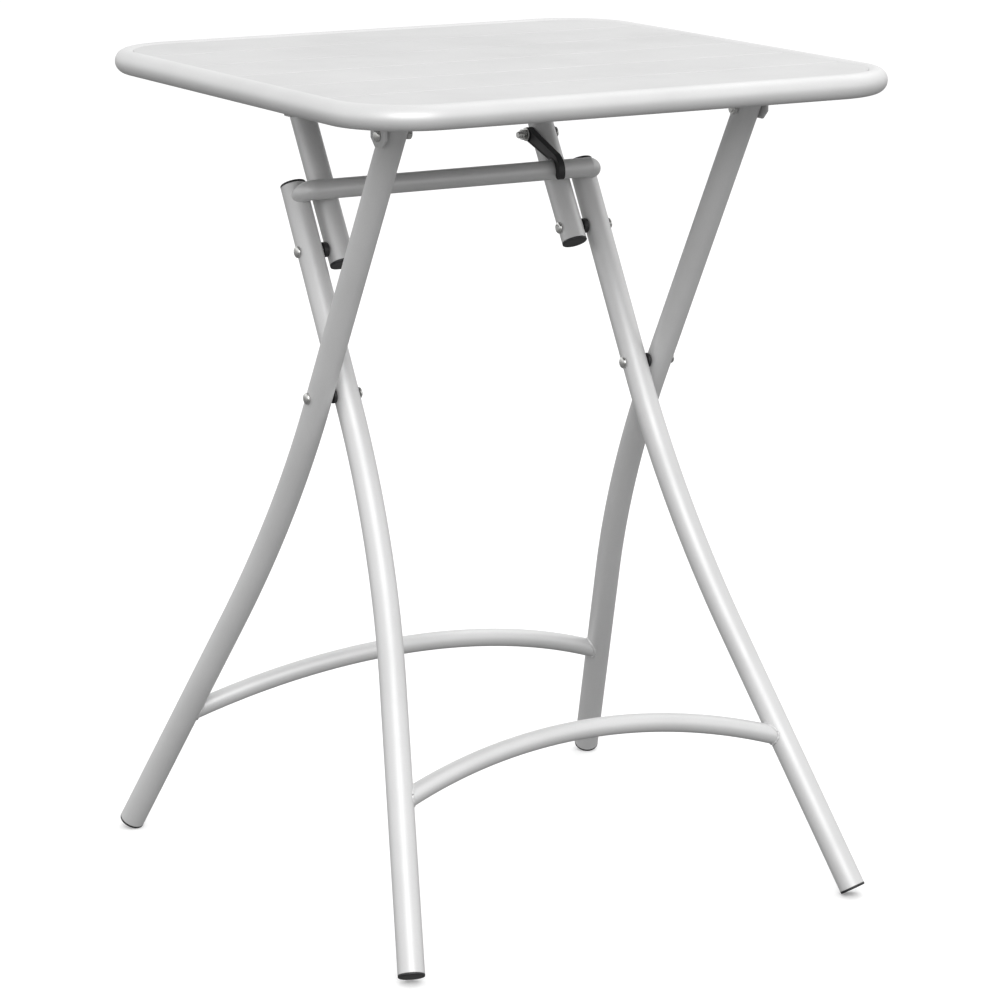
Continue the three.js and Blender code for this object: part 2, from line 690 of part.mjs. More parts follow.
function addHook(links) {
  const faceX = LINK_X - LEG_RADIUS - GAP;
  const hook = new THREE.ExtrudeGeometry(hookShape(), {
    depth: HOOK_THICKNESS, bevelEnabled: false, curveSegments: CORNER_STEPS,
  });
  hook.rotateX(Math.PI / 2);
  hook.rotateZ(-Math.PI / 2);
  hook.translate(faceX, 0, HOOK_STATION);
  const washerX = faceX - HOOK_THICKNESS - GAP;
  const washerEnd = washerX - WASHER_THICKNESS;
  const nutX = washerEnd - GAP;
  const endX = nutX - NUT_HEIGHT - HOOK_PIN_STICKOUT;
  const hole = crossCylinder(PIN_RADIUS + GAP, endX, LINK_X, 0, HOOK_STATION);
  piece(links, 'latch_hook', cut(hook, hole), PLASTIC);
  const headX = LINK_X + LEG_RADIUS + GAP;
  piece(links, 'hook_pin', headedPin(headX, endX, 0, HOOK_STATION), ZINC);
  const washer = crossRing(WASHER_RADIUS, PIN_RADIUS + GAP, washerX, washerEnd, 0, HOOK_STATION);
  piece(links, 'hook_washer', washer, ZINC);
  piece(links, 'hook_nut', hexNut(nutX, nutX - NUT_HEIGHT, 0, HOOK_STATION), ZINC);
}

function buildLinks() {
  const links = new THREE.Group();
  links.position.set(0, LINK_PIN_Y, LINK_PIN_HEIGHT);
  links.rotation.x = -LINK_LEAN;
  for (const [word, side] of SIDES) {
    addLinkTube(links, word, side);
    addLinkPin(links, word, side);
  }
  addHook(links);
  return links;
}

// ---- the whole table ----------------------------------------------------------------------

const table = new THREE.Group();
table.add(buildTop(), buildRearFrame(), buildFrontFrame(), buildLinks());

export default table;
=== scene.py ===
import json
import math

import bmesh
import bpy
from mathutils import Matrix, Vector


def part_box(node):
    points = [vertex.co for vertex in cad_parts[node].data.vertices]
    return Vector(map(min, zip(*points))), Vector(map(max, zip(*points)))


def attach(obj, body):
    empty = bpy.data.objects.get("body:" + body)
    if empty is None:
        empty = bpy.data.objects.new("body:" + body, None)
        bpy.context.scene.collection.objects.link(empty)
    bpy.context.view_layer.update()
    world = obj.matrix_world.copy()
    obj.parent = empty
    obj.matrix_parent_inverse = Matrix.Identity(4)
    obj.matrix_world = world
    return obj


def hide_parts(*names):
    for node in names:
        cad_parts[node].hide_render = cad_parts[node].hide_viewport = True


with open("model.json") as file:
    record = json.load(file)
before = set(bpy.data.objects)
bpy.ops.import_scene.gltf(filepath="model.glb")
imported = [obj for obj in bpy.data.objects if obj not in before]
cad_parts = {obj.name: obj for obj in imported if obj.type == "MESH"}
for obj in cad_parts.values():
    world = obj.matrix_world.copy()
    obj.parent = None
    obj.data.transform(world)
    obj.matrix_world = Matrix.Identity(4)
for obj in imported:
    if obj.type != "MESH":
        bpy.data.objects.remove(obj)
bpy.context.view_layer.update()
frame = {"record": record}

RECORD = frame["record"]
MM = 0.001
SIDES = (("left", -1), ("right", 1))

# ---- sizes that the solids don't name (metres and radians) -----------------------------------

LEG_RADIUS = 11 * MM
LEG_WALL = 1.2 * MM
BAR_RADIUS = 8 * MM
BAR_WALL = 1 * MM
CROSSBAR_RADIUS = 8.5 * MM
RIM_RADIUS = 10 * MM
RIM_CORNER = 62 * MM

SPLAY = math.radians(11.5)
BEND_RADIUS = 1.2
BEND_START = -9 * MM
BEND_END = BEND_START - BEND_RADIUS * math.sin(SPLAY)
TUBE_PAST_HINGE = 13 * MM
FRONT_LEG_PAST_PIN = 61 * MM
LINK_PAST_PIN = 15 * MM
FRONT_ARCH = (-347 * MM, 35 * MM)
REAR_ARCH = (-357 * MM, 46 * MM)
ARCH_END_SHORT = 4 * MM
ARCH_WELD_BACK = 14 * MM
WELD_BEAD = 1.15 * MM
WELD_RIPPLE = 0.12

PANEL_INSET = 5.9 * MM
PANEL_THICKNESS = 1.2 * MM
PANEL_EDGE_THICKNESS = 0.35 * MM
PANEL_LEAST_THICKNESS = 0.3 * MM
EDGE_ROLL = 0.8 * MM
EDGE_DROP = 0.2 * MM
RIM_CLEARANCE = 0.6 * MM
SLATS = 6
GROOVE_DEPTH = 1.2 * MM
GROOVE_REACH = 2.5 * MM
GROOVE_END_PULL = 1.3 * MM
BRACE_EDGE = 0.8 * MM

BRACKET_WALL = 2 * MM
BRACKET_FOLD = 3 * MM
BRACKET_EDGE = 0.35 * MM
FRONT_BRACKET_CHAMFER = 7 * MM
REAR_BRACKET_CHAMFER = 5.5 * MM

PIN_RADIUS = 3 * MM
PIN_CHAMFER = 0.4 * MM
BORE_CLEARANCE = 0.1 * MM
NUT_BORE_CLEARANCE = 0.05 * MM
THREAD_PITCH = 0.8 * MM
THREAD_ROOT = 0.87
HINGE_THREAD = 6 * MM
HOOK_THREAD = 10 * MM
HEAD_RADIUS = 5 * MM
HEAD_HEIGHT = 2.6 * MM
HEAD_RIM = 0.55 * MM
HEAD_INSET = 0.2 * MM
HEAD_STEP = 0.25 * MM
DOME_FULLNESS = 0.8
DOME_STEPS = 8
NUT_RIM = 0.6 * MM
NUT_CHAMFER = 0.7 * MM
NUT_FACE_SHARE = 0.97
SPACER_EDGE = 0.6 * MM

TUBE_EDGE = 0.35 * MM
GAP = 0.3 * MM
PLUG_CLEARANCE = 0.15 * MM
CAP_LIP = 1.6 * MM
CAP_EDGE = 0.7 * MM
CAP_DEPTH = 9 * MM
CAP_CHAMFER = 0.6 * MM

CROSSBAR_END = 6 * MM
CROSSBAR_END_EDGE = 5.5 * MM
CROSSBAR_PLUG_DEPTH = 8 * MM
CROSSBAR_PLUG_CHAMFER = 0.5 * MM
ELBOW_INSET = 7.3 * MM
ELBOW_BEND = 8.6 * MM
ELBOW_TAPER = 1.7 * MM
ELBOW_SWELL = 0.03 * MM
ELBOW_FADE = 0.05 * MM
ELBOW_LEAD = 1 * MM
ELBOW_SINK = 3 * MM

HOOK_CLEARANCE = 0.8 * MM
HOOK_NOSE_WIDTH = 7 * MM
HOOK_NOSE_END = -46
HOOK_SHOULDER = 45
HOOK_THROAT_START = 80
HOOK_BOSS_RADIUS = 6.2 * MM
HOOK_BOSS_ARC = (20, 200)
HOOK_EDGE = 0.45 * MM
HOOK_BORDER = 1.5 * MM
HOOK_FLOOR_BORDER = 2 * MM
HOOK_RECESS = 0.6 * MM
HOOK_BORDER_STEP = 0.05 * MM

ROUND = 64
ROUND_BAR = 48
ROUND_SMALL = 40


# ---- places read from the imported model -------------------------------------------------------


def centre(node):
    low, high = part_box(node)
    return (low + high) / 2


def axis_place(node):
    """Where a node's own axis along X crosses the middle of the table."""
    low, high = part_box(node)
    return Vector((0, (low.y + high.y) / 2, (low.z + high.z) / 2))


def joint_place(name):
    for joint in RECORD["behaviour"]["joints"]:
        if joint["name"] == name:
            return Vector(joint["pos_m"])
    raise KeyError(name)


FRONT_HINGE = joint_place("table_fold")
REAR_HINGE = joint_place("link_right_swing")
LINK_PIN = joint_place("front_frame_fold")
HOOK_PIN = joint_place("hook_swing")
CROSSING = centre("crossing_spacer_left")

ACROSS = Vector((1, 0, 0))


class Plane:
    """The leaning plane of one tube frame, measured from a pivot towards another pivot."""

    def __init__(self, origin, towards):
        self.origin = Vector((0, origin.y, origin.z))
        self.up = Vector((0, towards.y - origin.y, towards.z - origin.z)).normalized()
        self.forward = Vector((0, -self.up.z, self.up.y))

    def at(self, x, up, forward=0.0):
        return self.origin + ACROSS * x + self.up * up + self.forward * forward

    def up_of(self, point):
        return (point - self.origin).dot(self.up)


REAR_PLANE = Plane(CROSSING, FRONT_HINGE)
FRONT_PLANE = Plane(CROSSING, LINK_PIN)
LINK_PLANE = Plane(LINK_PIN, REAR_HINGE)


# ---- materials -------------------------------------------------------------------------------


class Nodes:
    """A small wrapper that makes a material's nodes and links them in order."""

    def __init__(self, name):
        self.material = bpy.data.materials.new(name)
        self.material.use_nodes = True
        self.tree = self.material.node_tree
        self.shader = self.tree.nodes["Principled BSDF"]
        coordinates = self.add("ShaderNodeTexCoord")
        self.place = coordinates.outputs["Object"]

    def add(self, kind, **settings):
        node = self.tree.nodes.new(kind)
        for key, value in settings.items():
            setattr(node, key, value)
        return node

    def link(self, output, target):
        self.tree.links.new(output, target)

    def noise(self, scale, detail=4.0, roughness=0.55, vector=None):
        node = self.add("ShaderNodeTexNoise")
        node.inputs["Scale"].default_value = scale
        node.inputs["Detail"].default_value = detail
        node.inputs["Roughness"].default_value = roughness
        self.link(vector or self.place, node.inputs["Vector"])
        return node.outputs["Fac"]

    def stretch(self, scale):
        node = self.add("ShaderNodeMapping")
        node.inputs["Scale"].default_value = scale
        self.link(self.place, node.inputs["Vector"])
        return node.outputs["Vector"]

    def ramp(self, value, stops):
        node = self.add("ShaderNodeValToRGB")
        while len(node.color_ramp.elements) < len(stops):
            node.color_ramp.elements.new(0.5)
        for element, (position, colour) in zip(node.color_ramp.elements, stops):
            element.position = position
            element.color = (*colour, 1)
        self.link(value, node.inputs["Fac"])
        return node.outputs["Color"]

    def span(self, value, low, high, to_low, to_high):
        node = self.add("ShaderNodeMapRange")
        for key, number in (
            ("From Min", low), ("From Max", high), ("To Min", to_low), ("To Max", to_high),
        ):
            node.inputs[key].default_value = number
        self.link(value, node.inputs["Value"])
        return node.outputs["Result"]

    def mix(self, factor, first, second):
        node = self.add("ShaderNodeMix", data_type="RGBA")
        self.link(factor, node.inputs["Factor"])
        for socket, value in ((node.inputs[6], first), (node.inputs[7], second)):
            if isinstance(value, tuple):
                socket.default_value = (*value, 1)
            else:
                self.link(value, socket)
        return node.outputs[2]

    def maths(self, operation, first, second):
        node = self.add("ShaderNodeMath", operation=operation)
        for socket, value in zip(node.inputs, (first, second)):
            if isinstance(value, float):
                socket.default_value = value
            else:
                self.link(value, socket)
        return node.outputs[0]

    def bump(self, height, distance, strength, under=None):
        node = self.add("ShaderNodeBump")
        node.inputs["Distance"].default_value = distance
        node.inputs["Strength"].default_value = strength
        self.link(height, node.inputs["Height"])
        if under:
            self.link(under, node.inputs["Normal"])
        return node.outputs["Normal"]

    def set(self, key, value):
        socket = self.shader.inputs[key]
        if hasattr(value, "is_linked"):
            self.link(value, socket)
        else:
            socket.default_value = value


def paint(name, base, roughness, metallic, grain):
    """Powder coat: a fine pebbled skin over a slow waviness, with faint mottling and dust."""
    n = Nodes(name)
    mottle = n.noise(9.0, 5.0)
    speck = n.noise(950.0, 2.0, 0.6)
    lighter = tuple(min(1.0, c * 1.035) for c in base)
    darker = tuple(c * 0.955 for c in base)
    tone = n.ramp(mottle, ((0.35, darker), (0.5, base), (0.68, lighter)))
    flake = n.span(speck, 0.35, 0.7, 0.0, 0.10)
    colour = n.mix(flake, tone, tuple(c * 0.72 for c in base))
    scuff = n.noise(60.0, 6.0, 0.7, n.stretch((1.0, 1.0, 0.22)))
    rub = n.span(scuff, 0.62, 0.78, 0.0, 1.0)
    n.set("Base Color", n.mix(n.maths("MULTIPLY", rub, 0.12), colour, lighter))
    cloud = n.span(n.noise(22.0, 5.0), 0.3, 0.7, roughness - 0.035, roughness + 0.045)
    n.set("Roughness", n.maths("ADD", cloud, n.maths("MULTIPLY", rub, 0.07)))
    n.set("Metallic", metallic)
    n.set("Specular IOR Level", 0.5)
    n.set("Coat Weight", 0.08)
    n.set("Coat Roughness", 0.35)
    wave = n.bump(n.noise(140.0, 2.0), 0.00008, 0.35)
    n.set("Normal", n.bump(speck, 0.000045, grain, wave))
    return n.material


def plastic(name, base, roughness):
    """Moulded black plastic with a fine spark-eroded grain and handled, smoother patches."""
    n = Nodes(name)
    patches = n.noise(35.0, 4.0)
    lighter = tuple(c * 1.9 for c in base)
    n.set("Base Color", n.ramp(patches, ((0.35, base), (0.75, lighter))))
    handled = n.span(patches, 0.3, 0.75, roughness + 0.06, roughness - 0.09)
    n.set("Roughness", handled)
    n.set("Specular IOR Level", 0.45)
    grain = n.noise(1600.0, 2.0, 0.6)
    flow = n.bump(n.noise(90.0, 3.0, 0.5, n.stretch((1.0, 1.0, 0.3))), 0.00006, 0.3)
    n.set("Normal", n.bump(grain, 0.00004, 0.45, flow))
    return n.material


def zinc(name):
    """Bright zinc plate: a metal with faint spangle, turning marks and duller patches."""
    n = Nodes(name)
    n.set("Metallic", 1.0)
    spangle = n.noise(260.0, 3.0)
    n.set("Base Color", n.ramp(spangle, ((0.3, (0.60, 0.60, 0.58)), (0.7, (0.80, 0.80, 0.79)))))
    n.set("Roughness", n.span(n.noise(420.0, 4.0), 0.3, 0.7, 0.20, 0.36))
    marks = n.noise(900.0, 2.0, 0.5, n.stretch((3.0, 1.0, 1.0)))
    n.set("Normal", n.bump(marks, 0.00002, 0.4))
    return n.material


LOOKS = {
    "frame_paint": paint("frame_paint", (0.665, 0.665, 0.665), 0.47, 0.30, 0.35),
    "panel_paint": paint("panel_paint", (0.575, 0.575, 0.575), 0.52, 0.12, 0.45),
    "black_plastic": plastic("black_plastic", (0.014, 0.014, 0.015), 0.46),
    "zinc_steel": zinc("zinc_steel"),
}


# ---- mesh helpers ----------------------------------------------------------------------------


def finish_piece(name, mesh, body, slot, nodes, sharp=35):
    """Puts a mesh in the scene as a piece that rides on a body and stands for CAD nodes."""
    mesh.validate()
    mesh.update()
    mesh.shade_smooth()
    mesh.set_sharp_from_angle(angle=math.radians(sharp))
    mesh.materials.append(LOOKS[slot])
    piece = bpy.data.objects.new(name, mesh)
    bpy.context.collection.objects.link(piece)
    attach(piece, body)
    if nodes:
        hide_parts(*nodes)


def loft(name, rings, loop=False):
    """Joins rings of equal length into one closed surface. A loop joins the last to the first."""
    count = len(rings[0])
    points = [tuple(p) for ring in rings for p in ring]
    faces = []
    pairs = list(zip(range(len(rings)), range(1, len(rings))))
    if loop:
        pairs.append((len(rings) - 1, 0))
    for a, b in pairs:
        for i in range(count):
            j = (i + 1) % count
            faces.append((a * count + i, a * count + j, b * count + j, b * count + i))
    if not loop:
        faces.append(tuple(reversed(range(count))))
        faces.append(tuple(range((len(rings) - 1) * count, len(rings) * count)))
    mesh = bpy.data.meshes.new(name)
    mesh.from_pydata(points, [], faces)
    return outward(mesh)


def outward(mesh):
    """Turns every face of a closed mesh outwards."""
    work = bmesh.new()
    work.from_mesh(mesh)
    bmesh.ops.remove_doubles(work, verts=work.verts, dist=1e-7)
    bmesh.ops.recalc_face_normals(work, faces=work.faces)
    work.to_mesh(mesh)
    work.free()
    return mesh


def circle(place, first, second, radius, count):
    """A ring of points about a place, in the plane of two unit directions."""
    ring = []
    for i in range(count):
        turn = 2 * math.pi * i / count
        ring.append(place + first * (radius * math.cos(turn)) + second * (radius * math.sin(turn)))
    return ring


def moved_towards(start, goal, distance):
    """A station moved a short way towards another one, with its own directions kept."""
    step = (goal[0] - start[0]).normalized() * distance
    return (start[0] + step, start[1], start[2])


def tube(name, stations, radius, wall, count=ROUND):
    """An open tube along stations of (place, side, side), with its end edges rounded."""
    edge = TUBE_EDGE
    inner = radius - wall
    first, last = stations[0], stations[-1]
    near_first = moved_towards(first, stations[1], edge)
    near_last = moved_towards(last, stations[-2], edge)
    outside = [near_first, *stations[1:-1], near_last]
    course = [(first, radius - edge)]
    course += [(station, radius) for station in outside]
    course += [(last, radius - edge), (last, inner + edge * 0.5)]
    course += [(station, inner) for station in reversed(outside)]
    course += [(first, inner + edge * 0.5)]
    rings = [circle(s[0], s[1], s[2], r, count) for s, r in course]
    return loft(name, rings, loop=True)


def lathe(name, profile, place, axis, loop=False, count=ROUND_SMALL):
    """Turns a profile of (radius, height) about an axis. Heights run along the axis."""
    axis = axis.normalized()
    side = axis.orthogonal().normalized()
    other = axis.cross(side)
    tiny = 1e-6
    rings = []
    for radius, height in profile:
        rings.append(circle(place + axis * height, side, other, max(radius, tiny), count))
    return loft(name, rings, loop)


def round_edge(radius, height, size, rise, steps=4):
    """A quarter-round corner of a profile, from the side of a disc to its flat face."""
    points = []
    for i in range(steps + 1):
        turn = math.pi / 2 * i / steps
        points.append((
            radius - size + size * math.cos(turn),
            height + rise * (size * math.sin(turn) - size),
        ))
    return points


def rounded_box(name, low, high, bevel):
    """A box between two corners with rounded edges."""
    work = bmesh.new()
    size = high - low
    matrix = Matrix.Translation((low + high) / 2) @ Matrix.Diagonal((*size, 1))
    bmesh.ops.create_cube(work, size=1, matrix=matrix)
    bmesh.ops.bevel(
        work, geom=list(work.edges), offset=bevel, segments=3, profile=0.5, affect="EDGES",
    )
    mesh = bpy.data.meshes.new(name)
    work.to_mesh(mesh)
    work.free()
    return mesh


# ---- the rim tube and the slatted panel ------------------------------------------------------

RIM_LOW, RIM_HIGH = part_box("rim_tube")
RIM_Z = (RIM_LOW.z + RIM_HIGH.z) / 2
RIM_HALF = (RIM_HIGH.x - RIM_LOW.x) / 2 - RIM_RADIUS


def rim_stations():
    """Stations round the middle line of the rim, each a place and its outward direction."""
    flat = RIM_HALF - RIM_CORNER
    corner_steps = 28
    side_steps = 10
    stations = []
    for quarter in range(4):
        base = quarter * math.pi / 2
        turn_to = Matrix.Rotation(base, 3, "Z")
        for i in range(side_steps):
            y = -flat + 2 * flat * i / side_steps
            place = turn_to @ Vector((RIM_HALF, y, 0))
            stations.append((place, turn_to @ Vector((1, 0, 0))))
        for i in range(corner_steps):
            turn = math.pi / 2 * i / corner_steps
            out = Vector((math.cos(turn), math.sin(turn), 0))
            place = turn_to @ (Vector((flat, flat, 0)) + out * RIM_CORNER)
            stations.append((place, turn_to @ out))
    return stations


def make_rim():
    up = Vector((0, 0, 1))
    rings = []
    for place, out in rim_stations():
        rings.append(circle(Vector((place.x, place.y, RIM_Z)), out, up, RIM_RADIUS, ROUND))
    mesh = loft("rim_tube_fine", rings, loop=True)
    finish_piece("rim_tube_fine", mesh, "tabletop", "frame_paint", ["rim_tube"])


PANEL_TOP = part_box("slatted_top_panel")[1].z
PANEL_HALF = RIM_HALF - PANEL_INSET
PANEL_CORNER = RIM_CORNER - (RIM_HALF - PANEL_HALF)
PANEL_FLAT = PANEL_HALF - PANEL_CORNER
SLAT_PITCH = 2 * PANEL_HALF / SLATS


def groove_drop(y):
    """How far the sheet dips at a distance across the slats: rounded valleys between flats."""
    nearest = round((y + PANEL_HALF) / SLAT_PITCH)
    if nearest in (0, SLATS):
        return 0.0
    away = abs(y + PANEL_HALF - nearest * SLAT_PITCH) / GROOVE_REACH
    if away >= 1:
        return 0.0
    return GROOVE_DEPTH * 0.5 * (1 + math.cos(math.pi * away))


def panel_rows():
    """Places across the slats: close together in the grooves and towards the two edges."""
    groove_steps, slat_steps, corner_steps = 8, 6, 24
    least_step = 0.12 * MM
    rows = set()
    for i in range(1, SLATS):
        for k in range(-groove_steps, groove_steps + 1):
            rows.add(round(-PANEL_HALF + i * SLAT_PITCH + k / groove_steps * GROOVE_REACH, 7))
    for i in range(SLATS):
        for k in range(1, slat_steps):
            rows.add(round(-PANEL_HALF + (i + k / slat_steps) * SLAT_PITCH, 7))
    for k in range(corner_steps + 1):
        reach = PANEL_FLAT + PANEL_CORNER * math.sin(math.pi / 2 * k / corner_steps)
        rows.update((round(reach, 7), round(-reach, 7)))
    ordered = sorted(rows)
    kept = [ordered[0]]
    for y in ordered[1:]:
        if y - kept[-1] > least_step or y == ordered[-1]:
            kept.append(y)
    return kept


def panel_columns():
    """Shares of the sheet's half width: close together towards the two side edges."""
    edge_band, edge_steps, middle_steps = 0.0095, 8, 12
    spread = {0.0}
    for k in range(edge_steps + 1):
        spread.add(round(1 - edge_band * (k / edge_steps) ** 2, 6))
    for k in range(1, middle_steps):
        spread.add(round((1 - edge_band) * (1 - k / middle_steps), 6))
    return sorted(spread | {-share for share in spread})


def panel_reach(y):
    """Half the sheet's width at a distance across the slats."""
    over = abs(y) - PANEL_FLAT
    if over <= 0:
        return PANEL_HALF
    return PANEL_FLAT + math.sqrt(max(PANEL_CORNER ** 2 - over ** 2, 0))


def depth_inside(x, y, half, corner):
    """How far a point lies inside a square with round corners."""
    flat = half - corner
    dx, dy = abs(x) - flat, abs(y) - flat
    if dx > 0 and dy > 0:
        return corner - math.hypot(dx, dy)
    return half - max(abs(x), abs(y))


def edge_roll(x, y):
    """How far the sheet's edge turns down where it meets the tube."""
    inside = depth_inside(x, y, PANEL_HALF, PANEL_CORNER)
    if inside >= EDGE_ROLL:
        return 0.0
    part = 1 - inside / EDGE_ROLL
    return EDGE_DROP * part * part


def rim_shelf(x, y):
    """The height above which the sheet clears the rim's tube, or None away from the tube."""
    away = depth_inside(x, y, RIM_HALF, RIM_CORNER)
    clear = RIM_RADIUS + RIM_CLEARANCE
    if away >= clear:
        return None
    return RIM_Z + math.sqrt(clear ** 2 - away ** 2)


def make_panel():
    rows, columns = panel_rows(), panel_columns()
    upper, lower = [], []
    for y in rows:
        reach = panel_reach(y) - GROOVE_END_PULL * groove_drop(y) / GROOVE_DEPTH
        for c in columns:
            x = c * reach
            z = PANEL_TOP - max(groove_drop(y), edge_roll(x, y))
            under = z - PANEL_THICKNESS
            shelf = rim_shelf(x, y)
            if shelf is not None and under < shelf:
                under = shelf
                z = max(z, under + PANEL_EDGE_THICKNESS)
            upper.append((x, y, min(z, PANEL_TOP)))
            lower.append((x, y, min(under, PANEL_TOP - PANEL_LEAST_THICKNESS)))
    wide = len(columns)
    faces = []
    offset = len(upper)
    for r in range(len(rows) - 1):
        for c in range(wide - 1):
            a = r * wide + c
            quad = (a, a + 1, a + wide + 1, a + wide)
            faces.append(quad)
            faces.append(tuple(offset + v for v in reversed(quad)))
    border = list(range(wide))
    border += [r * wide + wide - 1 for r in range(1, len(rows))]
    border += [(len(rows) - 1) * wide + c for c in range(wide - 2, -1, -1)]
    border += [r * wide for r in range(len(rows) - 2, 0, -1)]
    for a, b in zip(border, border[1:] + border[:1]):
        faces.append((a, b, offset + b, offset + a))
    mesh = bpy.data.meshes.new("slatted_panel_fine")
    mesh.from_pydata(upper + lower, [], faces)
    outward(mesh)
    finish_piece("slatted_panel_fine", mesh, "tabletop", "panel_paint", ["slatted_top_panel"], 50)


def make_braces():
    for node in ("front_brace_bar", "rear_brace_bar"):
        low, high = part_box(node)
        mesh = rounded_box(node + "_fine", low, high, BRACE_EDGE)
        finish_piece(node + "_fine", mesh, "tabletop", "frame_paint", [node])


# ---- hinges under the top --------------------------------------------------------------------


def bent_strip(outer, wall, top, bottom):
    """Outline of an angle bracket seen from the front, with a rounded fold at the top."""
    fold = BRACKET_FOLD
    steps = 6

    def arc(radius, start, end):
        points = []
        for i in range(steps + 1):
            turn = start + (end - start) * i / steps
            points.append((
                outer - fold + radius * math.cos(turn), top - fold + radius * math.sin(turn),
            ))
        return points

    outline = [(outer - wall, bottom), (outer, bottom)]
    outline += arc(fold, 0, math.pi / 2)
    outline += [(-outer, top), (-outer, top - wall)]
    outline += arc(fold - wall, math.pi / 2, 0)
    return outline


def make_bracket(node, body, side, chamfer):
    """An angle bracket with its cheek on the outer side and the cheek's lower corners cut off."""
    low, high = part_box(node)
    middle = (low + high) / 2
    outer = (high.x - low.x) / 2
    outline = []
    for x, z in bent_strip(outer, BRACKET_WALL, high.z, low.z):
        outline.append(Vector((middle.x + side * x, low.y, z)))
    work = bmesh.new()
    face = work.faces.new([work.verts.new(p) for p in outline])
    grown = bmesh.ops.extrude_face_region(work, geom=[face])
    top = [v for v in grown["geom"] if isinstance(v, bmesh.types.BMVert)]
    bmesh.ops.translate(work, verts=top, vec=Vector((0, high.y - low.y, 0)))
    for y, way in ((low.y, -1), (high.y, 1)):
        cut = bmesh.ops.bisect_plane(
            work, geom=list(work.verts) + list(work.edges) + list(work.faces),
            plane_co=Vector((0, y, low.z + chamfer)), plane_no=Vector((0, way, -1)),
            clear_outer=True,
        )
        edges = [e for e in cut["geom_cut"] if isinstance(e, bmesh.types.BMEdge)]
        bmesh.ops.holes_fill(work, edges=edges)
    bmesh.ops.recalc_face_normals(work, faces=work.faces)
    sharp = [
        e for e in work.edges
        if len(e.link_faces) == 2 and e.calc_face_angle(0) > math.radians(40)
    ]
    bmesh.ops.bevel(work, geom=sharp, offset=BRACKET_EDGE, segments=2, profile=0.5, affect="EDGES")
    mesh = bpy.data.meshes.new(node + "_fine")
    work.to_mesh(mesh)
    work.free()
    finish_piece(node + "_fine", mesh, body, "frame_paint", [node])


def dome(face, way, rim, height):
    """Profile points from a domed head's rim to its crown."""
    points = []
    for i in range(DOME_STEPS + 1):
        turn = math.pi / 2 * i / DOME_STEPS
        radius = HEAD_RADIUS * math.cos(turn) ** DOME_FULLNESS if i < DOME_STEPS else 0.0
        points.append((radius, face + way * (rim + (height - rim) * math.sin(turn))))
    return points


def pin_profile(way, face, length, thread):
    """A domed bolt or rivet from the shank's end to the crown, with thread ridges at the end."""
    end = face - way * length
    profile = [(0.0, end), (PIN_RADIUS - PIN_CHAMFER, end)]
    for i in range(int(thread / THREAD_PITCH)):
        at = end + way * (0.5 * MM + i * THREAD_PITCH)
        profile += [
            (PIN_RADIUS * THREAD_ROOT, at),
            (PIN_RADIUS, at + way * THREAD_PITCH * 0.45),
            (PIN_RADIUS, at + way * THREAD_PITCH * 0.55),
        ]
    if not thread:
        profile.append((PIN_RADIUS, end + way * PIN_CHAMFER))
    profile += [
        (PIN_RADIUS, face), (HEAD_RADIUS - HEAD_INSET, face),
        (HEAD_RADIUS, face + way * HEAD_STEP),
    ]
    return profile + dome(face, way, HEAD_RIM, HEAD_HEIGHT)


def make_pin(node, body, head_side, thread=0.0):
    """A headed pin along X. The head is at its end on the head side."""
    low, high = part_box(node)
    length = high.x - low.x - HEAD_HEIGHT
    face = high.x - HEAD_HEIGHT if head_side > 0 else low.x + HEAD_HEIGHT
    profile = pin_profile(head_side, face, length, thread)
    mesh = lathe(node + "_fine", profile, axis_place(node), ACROSS)
    finish_piece(node + "_fine", mesh, body, "zinc_steel", [node], 50 if thread else 35)


def make_hex_nut(node, body):
    """A hexagon nut along X whose corners are turned off towards both faces."""
    low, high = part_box(node)
    place = axis_place(node)
    flat = HEAD_RADIUS * math.cos(math.pi / 6)
    count = 60
    hole = PIN_RADIUS + NUT_BORE_CLEARANCE
    chamfer = NUT_CHAMFER
    levels = [(low.x, 0.0), (low.x + chamfer / 2, 0.5), (low.x + chamfer, 1.0)]
    levels += [(high.x - chamfer, 1.0), (high.x - chamfer / 2, 0.5), (high.x, 0.0)]
    y_way, z_way = Vector((0, 1, 0)), Vector((0, 0, 1))
    rings = []

    def ring(x, radius_at):
        points = []
        for i in range(count):
            turn = 2 * math.pi * i / count
            radius = radius_at(turn)
            points.append(
                place + ACROSS * x + y_way * (radius * math.cos(turn))
                + z_way * (radius * math.sin(turn))
            )
        return points

    def hexagon(turn):
        return flat / math.cos((turn % (math.pi / 3)) - math.pi / 6)

    rings.append(ring(low.x, lambda turn: hole))
    for x, part in levels:
        limit = flat * NUT_FACE_SHARE + (HEAD_RADIUS - flat * NUT_FACE_SHARE) * part
        rings.append(ring(x, lambda turn, limit=limit: min(hexagon(turn), limit)))
    rings.append(ring(high.x, lambda turn: hole))
    mesh = loft(node + "_fine", rings, loop=True)
    finish_piece(node + "_fine", mesh, body, "zinc_steel", [node], 25)


def make_domed_nut(node, body, way, hole=0.0):
    """A low domed nut along X that bulges the given way, with a hole for its pin if it has one."""
    low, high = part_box(node)
    face = low.x if way > 0 else high.x
    profile = [
        (hole, face), (HEAD_RADIUS - HEAD_INSET, face), (HEAD_RADIUS, face + way * HEAD_STEP),
    ]
    for radius, height in dome(face, way, NUT_RIM, high.x - low.x):
        profile.append((max(radius, hole), height))
        if radius <= hole:
            break
    mesh = lathe(node + "_fine", profile, axis_place(node), ACROSS, loop=hole > 0)
    finish_piece(node + "_fine", mesh, body, "zinc_steel", [node])


